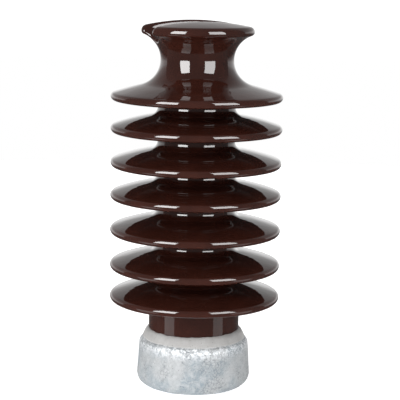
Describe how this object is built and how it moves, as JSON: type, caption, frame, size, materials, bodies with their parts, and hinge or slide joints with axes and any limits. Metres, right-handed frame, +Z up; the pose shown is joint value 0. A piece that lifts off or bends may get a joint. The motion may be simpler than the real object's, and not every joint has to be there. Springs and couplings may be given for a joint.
{
  "type": "line post insulator",
  "caption": "Brown-glazed porcelain line post insulator: grooved tie-top head, ribbed body with round sheds, galvanised iron base with a tapped stud hole.",
  "frame": {"origin": "centre of the iron base's flat seat, on the insulator's axis", "axes": "+Z up along the insulator's axis, from the base to the head; X runs along the conductor groove in the head, Y across it"},
  "size_m": [0.1704, 0.1704, 0.3662],
  "materials": {
    "glazed_porcelain": "polished",
    "cement": "matte",
    "galvanised_iron": "satin",
    "porcelain_grit": "matte",
    "bitumen": "satin",
    "cork": "matte"
  },
  "bodies": {
    "root": {"porcelain_body": "glazed_porcelain", "cement_fill": "cement", "base_casting": "galvanised_iron", "sanded_band": "porcelain_grit", "foot_bitumen_coat": "bitumen", "base_bitumen_lining": "bitumen", "cork_cushion": "cork"}
  },
  "joints": []
}
